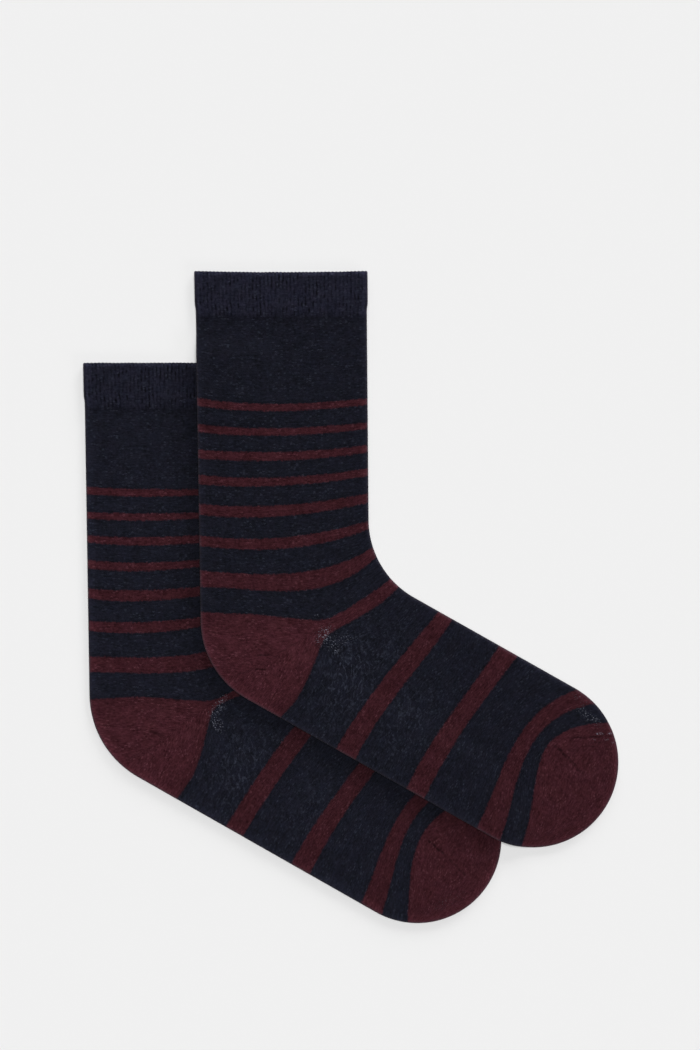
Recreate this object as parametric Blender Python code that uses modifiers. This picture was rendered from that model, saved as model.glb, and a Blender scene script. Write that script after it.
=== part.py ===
"""A pair of striped crew socks, laid flat in profile with one overlapping the other.

Run with:  blender --background --python part.py

Each sock is one knitted tube with a folded edge all round, open at the cuff and closed at the toe.
It is made as a bag of rings: every ring is one knitted course, which runs from the back edge of the
sock (calf, heel and sole) across to its front edge (shin and instep). A Solidify modifier gives the
cloth its thickness. Sizes below are millimetres, +X towards the toes, +Y towards the cuffs, +Z up.
"""

import math

import bmesh
import bpy
import numpy as np

MM = 0.001

# Cloth
CLOTH = 1.0  # one layer of the leg and foot
WELT_CLOTH = 1.5  # the cuff's welt is knitted double
SLIT = 0.5  # air between the two layers of a sock lying flat
WELT_DEPTH = 21.3  # from the cuff's edge down to the end of the welt
WELT_TAPER = 4.0  # the welt thins to the leg over this length

# How the upper sock lies on the lower one
REST_GAP = 0.5  # air between the socks
SHOULDER = 3.5  # the upper sock stays level this far past the lower one's edge
DROP = 12.0  # and then comes down to the floor over this length
FOLD_EASE = 12.0  # a pocket's fullness rises to its whole height over this length from the fold

# Mesh
RING_STEP = 9.0  # most room between two courses of the mesh, at the back or front edge
EDGE_ROWS = (0.0, 0.35, 1.25)  # rows of points this far in from a folded edge
TOE_END_ANGLE = 50.0  # half the angle of the toe's round that its last ring takes

# Shape of each sock in profile. The back edge runs straight down from the cuff, round the heel, and
# straight along the sole; the front edge runs down the shin, round the ankle, and along the instep.
# Both end in the half circle of the toe.
PROFILES = {
    "lower_sock": {
        "cuff_x": -138.8,
        "cuff_y": 121.6,
        "cuff_width": 89.0,
        "back_lean": 0.93,
        "front_lean": 0.45,
        "shin_length": 150.0,
        "foot_width": 87.3,
        "foot_angle": 29.6,
        "ankle_to_toe": 120.2,
        "heel_radius": 49.7,
        "ankle_radius": 46.6,
        "rows_across": 9,
    },
    "upper_sock": {
        "cuff_x": -81.1,
        "cuff_y": 169.3,
        "cuff_width": 89.0,
        "back_lean": 0.93,
        "front_lean": 0.48,
        "shin_length": 156.3,
        "foot_width": 88.4,
        "foot_angle": 29.4,
        "ankle_to_toe": 122.9,
        "heel_radius": 46.6,
        "ankle_radius": 46.6,
        "rows_across": 12,
    },
}

# Courses where the yarn changes. "back" and "front" are lengths along the two edges from the cuff,
# "bow" is how far the course's middle sags towards the toe, "skew" moves that sag to the back
# (positive) or to the front, and "kink" is a sharper sag at the place "kink_at" across, which only
# the courses along the heel and toe pockets have. The yarn named is the one that follows.
COURSE_COLUMNS = ("yarn", "back", "front", "bow", "skew", "kink", "kink_at")
KINK_REACH = 0.35  # how far across a kink reaches on each side
KINK_ROUND = 0.05  # and over how much of that its tip is rounded
COURSES = {
    "upper_sock": (
        ("navy", 0.0, 0.0, 0.5, 0.0, 0.0, 0.5),
        ("navy", 21.3, 21.3, 1.0, 0.0, 0.0, 0.5),
        ("navy", 25.3, 25.3, 1.2, 0.0, 0.0, 0.5),
        ("burgundy", 65.9, 66.2, 3.0, 1.0, 0.0, 0.5),
        ("navy", 70.0, 69.4, 3.0, 0.8, 0.0, 0.5),
        ("burgundy", 79.4, 78.7, 2.6, 0.8, 0.0, 0.5),
        ("navy", 83.5, 81.8, 2.7, 0.5, 0.0, 0.5),
        ("burgundy", 92.8, 90.3, 2.4, 0.0, 0.0, 0.5),
        ("navy", 97.2, 94.0, 2.7, 0.0, 0.0, 0.5),
        ("burgundy", 105.9, 102.5, 2.9, 0.4, 0.0, 0.5),
        ("navy", 110.5, 106.3, 2.9, 0.3, 0.0, 0.5),
        ("burgundy", 120.9, 115.4, 3.4, 0.3, 0.0, 0.5),
        ("navy", 126.4, 120.1, 3.9, 0.3, 0.0, 0.5),
        ("burgundy", 137.3, 129.8, 4.7, 0.2, 0.0, 0.5),
        ("navy", 142.4, 133.9, 5.8, -0.6, 0.0, 0.5),
        ("burgundy", 155.5, 143.7, 7.6, -2.8, 0.0, 0.5),
        ("navy", 163.8, 148.9, 10.1, -6.1, 0.0, 0.5),
        ("burgundy", 176.9, 162.5, 8.4, -2.4, 6.5, 0.63),
        ("navy", 250.8, 168.5, -1.1, 1.2, -9.4, 0.51),
        ("burgundy", 283.9, 193.0, -2.1, -0.8, 0.0, 0.5),
        ("navy", 295.2, 201.1, -1.5, -2.0, 0.0, 0.5),
        ("burgundy", 325.9, 228.9, -1.6, -2.0, 0.0, 0.5),
        ("navy", 336.4, 239.7, -2.5, -0.9, 0.0, 0.5),
        ("burgundy", 367.5, 275.6, -9.6, 6.4, 0.0, 0.5),
        ("navy", 381.2, 287.1, -13.8, 8.3, 0.0, 0.5),
        ("burgundy", 392.9, 299.5, -15.2, 10.9, -2.5, 0.65),
    ),
    "lower_sock": (
        ("navy", 0.0, 0.0, 0.5, 0.0, 0.0, 0.5),
        ("navy", 21.3, 21.3, 1.0, 0.0, 0.0, 0.5),
        ("navy", 25.3, 25.3, 1.0, 0.0, 0.0, 0.5),
        ("burgundy", 64.4, 64.7, 1.1, 0.1, 0.0, 0.5),
        ("navy", 68.0, 67.1, 1.6, 0.5, 0.0, 0.5),
        ("burgundy", 77.3, 76.4, 1.2, 0.4, 0.0, 0.5),
        ("navy", 80.7, 78.8, 1.7, 0.7, 0.0, 0.5),
        ("burgundy", 89.4, 87.2, 1.9, 0.7, 0.0, 0.5),
        ("navy", 92.9, 90.7, 2.5, 1.0, 0.0, 0.5),
        ("burgundy", 102.4, 99.4, 2.3, 0.7, 0.0, 0.5),
        ("navy", 106.5, 102.3, 2.8, 1.2, 0.0, 0.5),
        ("burgundy", 117.3, 112.2, 2.6, 0.2, 0.0, 0.5),
        ("navy", 122.3, 115.9, 3.5, 1.0, 0.0, 0.5),
        ("burgundy", 134.0, 125.5, 3.9, -0.3, 0.0, 0.5),
        ("navy", 138.9, 129.1, 5.0, 0.2, 0.0, 0.5),
        ("burgundy", 152.4, 139.2, 6.6, -2.6, 0.0, 0.5),
        ("navy", 160.6, 144.4, 8.5, -4.7, 0.0, 0.5),
        ("burgundy", 174.7, 157.2, 6.1, -2.2, 7.1, 0.62),
        ("navy", 247.6, 163.0, -3.5, 1.0, -12.1, 0.54),
        ("burgundy", 276.8, 186.6, -3.0, 0.8, 0.0, 0.5),
        ("navy", 286.8, 194.4, -1.9, 0.0, 0.0, 0.5),
        ("burgundy", 315.8, 222.0, -1.4, -1.4, 0.0, 0.5),
        ("navy", 326.6, 233.2, -3.1, 0.0, 0.0, 0.5),
        ("burgundy", 357.5, 267.2, -11.1, 6.7, 0.0, 0.5),
        ("navy", 369.6, 279.2, -15.4, 8.4, 0.0, 0.5),
        ("burgundy", 383.7, 290.2, -19.7, 8.6, 0.9, 0.65),
    ),
}

# Where the knitted pockets keep some of their fullness on the floor: the middle of each, how far it
# reaches, and how much it lifts the top layer.
FULLNESS_COLUMNS = ("x", "y", "reach", "height")
FULLNESS = {
    "lower_sock": (
        (-100.0, -66.0, 50.0, 1.2),
        (42.0, -134.0, 46.0, 1.1),
        (-22.0, -112.0, 64.0, 0.5),
        (-108.0, 30.0, 50.0, 0.5),
    ),
    "upper_sock": (
        (-44.0, -28.0, 52.0, 1.3),
        (96.0, -82.0, 48.0, 1.3),
        (30.0, -46.0, 80.0, 0.6),
        (-34.0, 100.0, 80.0, 0.6),
    ),
}

# sRGB of the two yarns
YARNS = {"navy": (20, 24, 38), "burgundy": (64, 28, 34)}


def rows_of(columns, table):
    """The table's rows as dictionaries with named columns."""
    return [dict(zip(columns, row)) for row in table]


def smooth_step(x):
    """0 below 0, 1 above 1, with a smooth rise between."""
    x = np.clip(x, 0.0, 1.0)
    return x * x * (3.0 - 2.0 * x)


class Edge:
    """A path in the plane made of straight runs and arcs, measured by its length from the start."""

    def __init__(self, start, heading):
        self.pieces = []
        self.end = np.array(start, float)
        self.heading = heading
        self.length = 0.0

    def add(self, length, turn=0.0):
        """Goes on for a length, while turning left by the given angle."""
        piece = (self.length, self.end, self.heading, turn / length)
        self.pieces.append(piece)
        self.end = self.walk(piece, length)
        self.heading += turn
        self.length += length

    @staticmethod
    def walk(piece, length):
        _, start, heading, curve = piece
        if curve == 0.0:
            return start + length * np.array([math.cos(heading), math.sin(heading)])
        turned = heading + curve * length
        across = math.sin(turned) - math.sin(heading)
        along = math.cos(heading) - math.cos(turned)
        return start + np.array([across, along]) / curve

    def point(self, length):
        piece = [p for p in self.pieces if p[0] <= length][-1] if length > 0.0 else self.pieces[0]
        return self.walk(piece, length - piece[0])


def direction(angle):
    return np.array([math.cos(angle), math.sin(angle)])


def edges_of(profile):
    """The back and front edges of a sock, and the radius of its toe."""
    down_back = math.radians(profile["back_lean"] - 90.0)
    down_front = math.radians(profile["front_lean"] - 90.0)
    along = -math.radians(profile["foot_angle"])
    foot, down = direction(along), direction(down_back)
    to_sole = np.array([foot[1], -foot[0]])
    radius = profile["foot_width"] / 2.0
    back_top = np.array([profile["cuff_x"], profile["cuff_y"]])
    front_top = back_top + [profile["cuff_width"], 0.0]
    ankle = front_top + profile["shin_length"] * direction(down_front)
    toe = ankle + profile["ankle_to_toe"] * foot + radius * to_sole
    # The heel's corner is where the back edge's line meets the sole's.
    sole = toe + radius * to_sole
    to_corner = np.linalg.solve(np.array([down, -foot]).T, sole - back_top)[0]
    corner = back_top + to_corner * down

    back_turn, front_turn = along - down_back, along - down_front
    heel_cut = profile["heel_radius"] * math.tan(back_turn / 2.0)
    ankle_cut = profile["ankle_radius"] * math.tan(front_turn / 2.0)
    back = Edge(back_top, down_back)
    back.add(to_corner - heel_cut)
    back.add(profile["heel_radius"] * back_turn, back_turn)
    back.add(float(np.dot(sole - corner, foot)) - heel_cut)
    back.add(radius * math.pi / 2.0, math.pi / 2.0)
    front = Edge(front_top, down_front)
    front.add(profile["shin_length"] - ankle_cut)
    front.add(profile["ankle_radius"] * front_turn, front_turn)
    front.add(profile["ankle_to_toe"] - ankle_cut)
    front.add(radius * math.pi / 2.0, -math.pi / 2.0)
    return back, front, radius


def places_across(width, count):
    """Places across a course of this width, 0 at the back edge and 1 at the front."""
    edge = np.array(EDGE_ROWS)
    middle = np.linspace(edge[-1], width - edge[-1], count)[1:-1]
    return np.concatenate([edge, middle, width - edge[::-1]]) / width


def sag_of(course, t):
    """A course's own curve: offsets along and across its chord at each place."""
    across = 4.0 * t * (1.0 - t) * (course["bow"] + course["skew"] * (1.0 - 2.0 * t))
    from_tip = np.hypot(t - course["kink_at"], KINK_ROUND) - KINK_ROUND
    kink = np.clip(1.0 - from_tip / KINK_REACH, 0.0, None) ** 1.5
    return np.stack([np.zeros_like(t), across + course["kink"] * kink], axis=1)


def arc_of(radius, chord, t):
    """The same for an arc of this radius over this chord."""
    half = math.asin(chord / 2.0 / radius)
    angle = half * (2.0 * t - 1.0)
    along = radius * np.sin(angle) + chord / 2.0 - chord * t
    across = radius * (np.cos(angle) - math.cos(half))
    return np.stack([along, across], axis=1)


def points_of(name, course, toe_share=0.0):
    """Points in plan across one course, which takes on the toe's round as toe_share rises to 1."""
    profile = PROFILES[name]
    back, front, radius = edges_of(profile)
    start, finish = back.point(course["back"]), front.point(course["front"])
    chord = finish - start
    width = float(np.linalg.norm(chord))
    t = places_across(width, profile["rows_across"])
    offsets = (1.0 - toe_share) * sag_of(course, t)
    if toe_share > 0.0:
        offsets = offsets + toe_share * arc_of(radius, width, t)
    along = chord / width
    towards_toe = np.array([along[1], -along[0]])
    return start + np.outer(t * width + offsets[:, 0], along) + np.outer(offsets[:, 1], towards_toe)


def mixed(here, there, share):
    """The course this share of the way from one to another."""
    return {key: (1.0 - share) * here[key] + share * there[key] for key in COURSE_COLUMNS[1:]}


def rings_of(name):
    """The sock's rings as (yarn, points in plan), from the cuff to the toe."""
    courses = rows_of(COURSE_COLUMNS, COURSES[name])
    rings = []
    for here, there in zip(courses, courses[1:]):
        gap = max(there["back"] - here["back"], there["front"] - here["front"])
        count = math.ceil(gap / RING_STEP)
        for step in range(count):
            rings.append((here["yarn"], points_of(name, mixed(here, there, step / count))))

    # The toe: from its first course to the round end itself, which is the last ring.
    back, front, radius = edges_of(PROFILES[name])
    toe, past = courses[-1], math.radians(TOE_END_ANGLE) * radius
    end = dict(toe, back=back.length - past, front=front.length - past)
    middle = PROFILES[name]["rows_across"] // 2
    depth = float(np.linalg.norm(points_of(name, end, 1.0)[middle] - points_of(name, toe)[middle]))
    near_end = [1.0 - inset / depth for inset in EDGE_ROWS[::-1]]
    count = math.ceil(depth / RING_STEP)
    for share in [step * near_end[0] / count for step in range(count)] + near_end:
        rings.append((toe["yarn"], points_of(name, mixed(toe, end, share), share)))
    return rings


def outline_of(name, step=2.0):
    """The sock's outline as a closed list of points: down the back, round the toe and up the front."""
    back, front, _ = edges_of(PROFILES[name])
    down = [back.point(s) for s in np.arange(0.0, back.length, step)]
    up = [front.point(s) for s in np.arange(0.0, front.length, step)]
    return np.array(down + [back.end] + up[::-1])


def distance_to(points, line):
    """How far each point is from a line of points."""
    start, run = line[:-1], np.diff(line, axis=0)
    away = points[:, None, :] - start[None]
    share = np.clip((away * run).sum(axis=2) / (run * run).sum(axis=1), 0.0, 1.0)
    return np.linalg.norm(away - share[..., None] * run, axis=2).min(axis=1)


def inside(points, outline):
    """Whether each point is inside the closed outline, by counting the edges it crosses."""
    start, end = outline, np.roll(outline, -1, axis=0)
    x, y = points[:, :1], points[:, 1:]
    spans = (start[:, 1] > y) != (end[:, 1] > y)
    rise = np.where(end[:, 1] == start[:, 1], 1.0, end[:, 1] - start[:, 1])
    crossing = start[:, 0] + (y - start[:, 1]) * (end[:, 0] - start[:, 0]) / rise
    return (spans & (x < crossing)).sum(axis=1) % 2 == 1


def welt_share(name, points, longer=0.0):
    """1 in the welt, 0 below it, with the welt taken as this much longer."""
    below_cuff = PROFILES[name]["cuff_y"] - points[:, 1] - longer
    return 1.0 - smooth_step((below_cuff - WELT_DEPTH) / WELT_TAPER)


def thickness_of(name, points, longer=0.0):
    """Both layers and the slit, before the fullness of the pockets."""
    return 2.0 * (CLOTH + (WELT_CLOTH - CLOTH) * welt_share(name, points, longer)) + SLIT


def fullness_of(name, points):
    """How far the pockets lift the top layer."""
    lift = np.zeros(len(points))
    for bump in rows_of(FULLNESS_COLUMNS, FULLNESS[name]):
        away = np.hypot(points[:, 0] - bump["x"], points[:, 1] - bump["y"])
        lift += bump["height"] * (1.0 - smooth_step(away / bump["reach"]))
    return lift


def rest_height(name, points):
    """What the sock lies on at each point: the floor, or the lower sock."""
    if name == "lower_sock":
        return np.zeros(len(points))
    below = outline_of("lower_sock")
    past = np.where(inside(points, below), 0.0, distance_to(points, np.vstack([below, below[:1]])))
    top = thickness_of("lower_sock", points, longer=RING_STEP) + fullness_of("lower_sock", points)
    top += REST_GAP
    return top * (1.0 - smooth_step((past - SHOULDER) / DROP))


def layers_of(name, points):
    """Heights of the bottom and top surfaces over points in plan, which meet at the folded edges."""
    half = thickness_of(name, points) / 2.0
    from_fold = distance_to(points, outline_of(name))
    swell = half * np.sqrt(1.0 - (1.0 - np.clip(from_fold / half, 0.0, 1.0)) ** 2)
    middle = rest_height(name, points) + half
    fullness = smooth_step(from_fold / FOLD_EASE) * fullness_of(name, points)
    return middle - swell, middle + swell + fullness


def yarn_material(name):
    material = bpy.data.materials.new(f"{name}_yarn")
    material.use_nodes = True
    shader = material.node_tree.nodes["Principled BSDF"]
    linear = [(c / 255.0) ** 2.2 for c in YARNS[name]]
    shader.inputs["Base Color"].default_value = (*linear, 1.0)
    shader.inputs["Roughness"].default_value = 0.95
    shader.inputs["Metallic"].default_value = 0.0
    material.diffuse_color = (*linear, 1.0)
    return material


def make_tube(name, yarns):
    """The sock's skin as a mesh: both layers' rings of points, joined along the folded edges."""
    rings = rings_of(name)
    plan = np.array([points for _, points in rings])
    count, across = plan.shape[:2]
    bottom, top = (z.reshape(count, across) for z in layers_of(name, plan.reshape(-1, 2)))

    bm = bmesh.new()
    low, high = {}, {}
    for i in range(count):
        for j in range(across):
            folded = j in (0, across - 1) or i == count - 1
            below = (bottom[i, j] + top[i, j]) / 2.0 if folded else bottom[i, j]
            low[i, j] = bm.verts.new((*plan[i, j] * MM, below * MM))
            high[i, j] = low[i, j] if folded else bm.verts.new((*plan[i, j] * MM, top[i, j] * MM))
    for layer, facing in ((low, 1), (high, -1)):
        for i in range(count - 1):
            for j in range(across - 1):
                corners = [layer[i, j], layer[i + 1, j], layer[i + 1, j + 1], layer[i, j + 1]]
                face = bm.faces.new(corners[::facing])
                face.material_index = yarns.index(rings[i][0])
                face.smooth = True
    mesh = bpy.data.meshes.new(name)
    bmesh.ops.recalc_face_normals(bm, faces=bm.faces)
    bm.to_mesh(mesh)
    bm.free()
    return mesh


def make_sock(name, materials, collection):
    """One sock: the tube's skin, thickened inwards, and thicker in the welt."""
    mesh = make_tube(name, list(materials))
    for material in materials.values():
        mesh.materials.append(material)
    sock = bpy.data.objects.new(name, mesh)
    collection.objects.link(sock)

    points = np.array([v.co[:2] for v in mesh.vertices]) / MM
    welt = sock.vertex_groups.new(name="welt")
    for index, weight in enumerate(welt_share(name, points)):
        welt.add([index], float(weight), "REPLACE")
    cloth = sock.modifiers.new("cloth", "SOLIDIFY")
    cloth.thickness = WELT_CLOTH * MM
    cloth.offset = -1.0
    cloth.use_rim = True
    cloth.vertex_group = welt.name
    cloth.thickness_vertex_group = CLOTH / WELT_CLOTH


def main():
    for obj in list(bpy.data.objects):
        bpy.data.objects.remove(obj, do_unlink=True)
    collection = bpy.data.collections.new("pair_of_socks")
    bpy.context.scene.collection.children.link(collection)
    materials = {name: yarn_material(name) for name in YARNS}
    for name in PROFILES:
        make_sock(name, materials, collection)


main()
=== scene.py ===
"""The looks of a pair of striped crew socks, laid flat in profile, one overlapping the other.

Each sock is a fine knitted shell on the form of its solid. It is made of rings of points, each
one a knitted course that runs from the back edge (calf, heel and sole) across to the front edge
(shin and instep), closed at the toe, with the cuff's rolled lip and the inside of the cloth. Each
point carries its place in the knitting, and the material draws the stitches, stripes and mottled
yarn from that. Sizes are millimetres until a mesh is made, +X towards the toes, +Y towards the
cuffs, +Z up.
"""

import math
from functools import partial, reduce

import bpy
import numpy as np
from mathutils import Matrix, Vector

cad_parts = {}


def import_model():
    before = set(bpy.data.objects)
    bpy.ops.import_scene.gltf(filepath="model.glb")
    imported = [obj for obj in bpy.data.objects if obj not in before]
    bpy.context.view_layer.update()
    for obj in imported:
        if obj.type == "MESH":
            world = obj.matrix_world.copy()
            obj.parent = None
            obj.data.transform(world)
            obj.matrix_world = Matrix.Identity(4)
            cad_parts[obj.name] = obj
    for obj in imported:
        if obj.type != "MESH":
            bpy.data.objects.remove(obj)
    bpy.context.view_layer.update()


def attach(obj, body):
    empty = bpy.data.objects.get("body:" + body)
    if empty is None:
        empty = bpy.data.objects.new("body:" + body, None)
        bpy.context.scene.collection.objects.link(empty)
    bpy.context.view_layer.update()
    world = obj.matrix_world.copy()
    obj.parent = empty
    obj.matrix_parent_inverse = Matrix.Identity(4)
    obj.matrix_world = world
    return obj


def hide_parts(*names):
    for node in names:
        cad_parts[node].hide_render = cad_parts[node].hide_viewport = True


MM = 0.001
LOWER, UPPER = "lower_sock", "upper_sock"

# Cloth
CLOTH = 1.0  # one layer of the leg and foot
WELT_CLOTH = 1.5  # the cuff's welt is knitted double
SLIT = 0.5  # air between the two layers of a sock lying flat
WELT_DEPTH = 21.3  # from the cuff's edge down
WELT_TAPER = 4.0  # over which it thins to the leg
WELT_FLARE = 0.52  # how far the welt stands out past the leg on each side
FLARE_SHORT = 5.0  # which ends this much sooner
REST_GAP = 0.5  # air between the socks
SHOULDER = 3.5  # the upper sock stays level this far past the lower one's edge
DROP = 12.0  # and then comes down to the floor over this length
FOLD_EASE = 12.0  # the top layer's relief rises over this length from a folded edge
TOE_END_ANGLE = 50.0  # half the angle of the toe's round that its last ring takes
SOLID_RING_STEP = 9.0  # the solids' own course spacing, which sets how the upper sock rests
RIPPLES = {  # in the top layers: a seed, a height and a size each
    LOWER: ((4, 0.16, 26.0), (14, 0.05, 8.0)),
    UPPER: ((3, 0.16, 26.0), (13, 0.05, 8.0)),
}

# Knitting
WALES = 92  # columns of stitches across one side of a sock
COURSE = 0.65  # height of one course of stitches
RIB = 2  # wales to one rib of the welt
RIB_HEIGHT = 0.11
RIB_EASE = 3.0  # which it reaches this far in from a folded edge
SCALLOP = 0.13  # how far each rib stands up along the cuff's edge
CUFF_RIPPLE = (21, 0.18, 14.0)  # the seed, height and size of the edge's own ripple
SCALLOP_FADE = 2.5  # how far below the edge both fade
LIP_OUTSIDE = (90.0, 62.0, 34.0, 0.0)  # rings round the cuff's lip, from its top outwards
LIP_INSIDE = (90.0, 125.0, 155.0, 180.0)  # and inwards

# Mesh
RING_STEP = 2.0  # most room between two rings of the outer skin
INNER_STEP = 8.0  # and of the inner one
INNER_START = 2.2  # which starts this far below the cuff's edge
EDGE_ROWS = (0.0, 0.15, 0.35, 0.7, 1.25)  # rows of points by a folded edge
LINE_STEPS = 160  # steps that a course's line is read in
TOP_COLUMNS = 184  # spaces across the top layer; the bottom layer has half, the inside a quarter

# Both socks' profiles: the lower one's measure, and the upper one's.
PROFILES = {
    "cuff_x": (-138.8, -81.1),
    "cuff_y": (121.6, 169.3),
    "cuff_width": (89.0, 89.0),
    "back_lean": (0.93, 0.93),
    "front_lean": (0.45, 0.48),
    "shin_length": (150.0, 156.3),
    "foot_width": (87.3, 88.4),
    "foot_angle": (29.6, 29.4),
    "ankle_to_toe": (120.2, 122.9),
    "heel_radius": (49.7, 46.6),
    "ankle_radius": (46.6, 46.6),
}

# Courses: at the cuff, at both ends of the welt's taper, on one line where each burgundy stripe
# starts and ends, and where the toe starts. "back" and "front" are lengths along the two edges from
# the cuff, "bow" is how far the middle sags towards the toe, "skew" moves that sag to the back
# (positive) or to the front, and "kink" is a sharper sag at the place "kink_at" across.
COURSE_KEYS = ("back", "front", "bow", "skew", "kink", "kink_at")
KINK_REACH = 0.35  # share of the course that a kink takes on each side
KINK_ROUND = 0.05  # and that its tip is rounded over
COURSES = {UPPER: (
    (0, 0, 0.5, 0),
    (21.3, 21.3, 1, 0),
    (25.3, 25.3, 1.2, 0),
    (65.9, 66.2, 3, 1), (70, 69.4, 3, 0.8),
    (79.4, 78.7, 2.6, 0.8), (83.5, 81.8, 2.7, 0.5),
    (92.8, 90.3, 2.4, 0), (97.2, 94, 2.7, 0),
    (105.9, 102.5, 2.9, 0.4), (110.5, 106.3, 2.9, 0.3),
    (120.9, 115.4, 3.4, 0.3), (126.4, 120.1, 3.9, 0.3),
    (137.3, 129.8, 4.7, 0.2), (142.4, 133.9, 5.8, -0.6),
    (155.5, 143.7, 7.6, -2.8), (163.8, 148.9, 10.1, -6.1),
    (176.9, 162.5, 8.4, -2.4, 6.5, 0.63), (250.8, 168.5, -1.1, 1.2, -9.4, 0.51),
    (283.9, 193, -2.1, -0.8), (295.2, 201.1, -1.5, -2),
    (325.9, 228.9, -1.6, -2), (336.4, 239.7, -2.5, -0.9),
    (367.5, 275.6, -9.6, 6.4), (381.2, 287.1, -13.8, 8.3),
    (392.9, 299.5, -15.2, 10.9, -2.5, 0.65),
), LOWER: (
    (0, 0, -0.15, 0),
    (21.3, 21.3, 1, 0),
    (25.3, 25.3, 1, 0),
    (64.4, 64.7, 1.1, 0.1), (68, 67.1, 1.6, 0.5),
    (77.3, 76.4, 1.2, 0.4), (80.7, 78.8, 1.7, 0.7),
    (89.4, 87.2, 1.9, 0.7), (92.9, 90.7, 2.5, 1),
    (102.4, 99.4, 2.3, 0.7), (106.5, 102.3, 2.8, 1.2),
    (117.3, 112.2, 2.6, 0.2), (122.3, 115.9, 3.5, 1),
    (134, 125.5, 3.9, -0.3), (138.9, 129.1, 5, 0.2),
    (152.4, 139.2, 6.6, -2.6), (160.6, 144.4, 8.5, -4.7),
    (174.7, 157.2, 6.1, -2.2, 7.1, 0.62), (247.6, 163, -3.5, 1, -12.1, 0.54),
    (276.8, 186.6, -3, 0.8), (286.8, 194.4, -1.9, 0),
    (315.8, 222, -1.4, -1.4), (326.6, 233.2, -3.1, 0),
    (357.5, 267.2, -11.1, 6.7), (369.6, 279.2, -15.4, 8.4),
    (383.7, 290.2, -19.7, 8.6, 0.9, 0.65),
)}
FIRST_STRIPE = 3  # the row that starts the first stripe; the yarn changes at each row from there
ANKLE_ROW = 9  # the ankle's stripes begin here
HEEL_TOP, HEEL_END = 17, 18  # and the heel's pocket lies between these two

# Where the knitted pockets keep some of their fullness on the floor: the middle of each, how far it
# reaches, and how much it lifts the top layer.
FULLNESS = {LOWER: (
    (-100, -66, 50, 1.2),
    (42, -134, 46, 1.1),
    (-22, -112, 64, 0.5),
    (-108, 30, 50, 0.5),
), UPPER: (
    (-44, -28, 52, 1.3),
    (96, -82, 48, 1.3),
    (30, -46, 80, 0.6),
    (-34, 100, 80, 0.6),
)}

# Soft creases in the top layer: the middle of each, the way it runs in degrees from +X, its length
# and breadth, and its height, which is negative for a trough.
CREASE_WANDER = (0.25, 5.0)  # each strays by this share of its breadth, this fast along its length
CREASES = {UPPER: (
    (-45, -30.3, 2, 9, 1.3, -0.35),
    (-46.3, -37.2, 4, 8, 1.2, -0.3),
    (2, -36, 72, 26, 2.2, -0.22),
    (7, -42, 66, 30, 2.4, -0.26),
    (-3, -44, 78, 22, 2, -0.2),
    (12, -33, 60, 20, 2.6, -0.16),
    (-9, -28, 40, 16, 2.4, -0.2),
    (113, -85.5, -50, 24, 1.3, -0.22),
    (124, -72.6, 8, 20, 1.1, -0.18),
    (-66, 20, 86, 60, 9, 0.12),
    (-10, 60, 92, 90, 12, -0.1),
    (60, -60, -28, 70, 10, 0.12),
), LOWER: (
    (-104, -66, 4, 8, 1.3, -0.3),
    (-58, -84, 74, 24, 2.2, -0.24),
    (-50, -92, 64, 28, 2.6, -0.22),
    (-66, -92, 80, 20, 2, -0.18),
    (58, -140, -52, 22, 1.3, -0.32),
    (-118, 10, 88, 60, 9, 0.12),
    (0, -128, -28, 60, 9, 0.12),
)}

# Where the pale yarn that splices the heel and toe shows through, and where the navy by the ankle
# is rumpled: the middle of each, the way it runs, its half length and breadth, and its strength.
PALE_SPOTS = {UPPER: (
    (-13.7, -20, 50, 6.6, 4.8, 0.92),
    (-9, -25.6, -50, 5.6, 3.6, 0.84),
    (-3, -21.8, 20, 8, 3.2, 0.55),
    (-18.1, -9.8, 0, 2.6, 1.3, 0.6),
    (-12.1, -10.4, 5, 2.6, 1.3, 0.48),
    (-15.2, -5.7, 10, 5, 2.2, 0.32),
    (2, -34, -70, 14, 9, 0.22),
    (121, -60.2, -45, 6, 3.2, 0.74),
    (126.6, -64, -45, 5, 2.8, 0.7),
    (118, -52.2, -35, 7, 2.6, 0.42),
    (128.8, -70.9, 4, 2.4, 0.7, 1.5),
    (134.2, -70.7, 0, 1.4, 0.7, 1.3),
    (126, -73.9, 0, 0.9, 0.6, 1.3),
    (132.6, -74, 0, 1.1, 0.6, 1.3),
    (135.6, -75.6, 0, 0.8, 0.6, 1.1),
    (90.7, -102.8, 0, 0.6, 0.6, 1.4),
), LOWER: (
    (-68.8, -56.6, 50, 8.6, 3.2, 0.82),
    (-69.3, -66, -60, 5.4, 3, 0.84),
    (-60, -76, -70, 11, 6, 0.25),
    (-131, -46, 80, 6, 3, 0.2),
    (50, -158, 28, 13, 4.5, 0.34),
)}
RUMPLED = {UPPER: (
    (-1, -40, 68, 24, 14, 0.84),
    (20, -27, 60, 16, 9, 0.45),
    (30, -63, 60, 20, 12, 0.55),
), LOWER: (
    (-57, -87.5, 66, 24, 14, 0.6),
    (-20, -110, 60, 16, 10, 0.4),
)}

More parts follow.
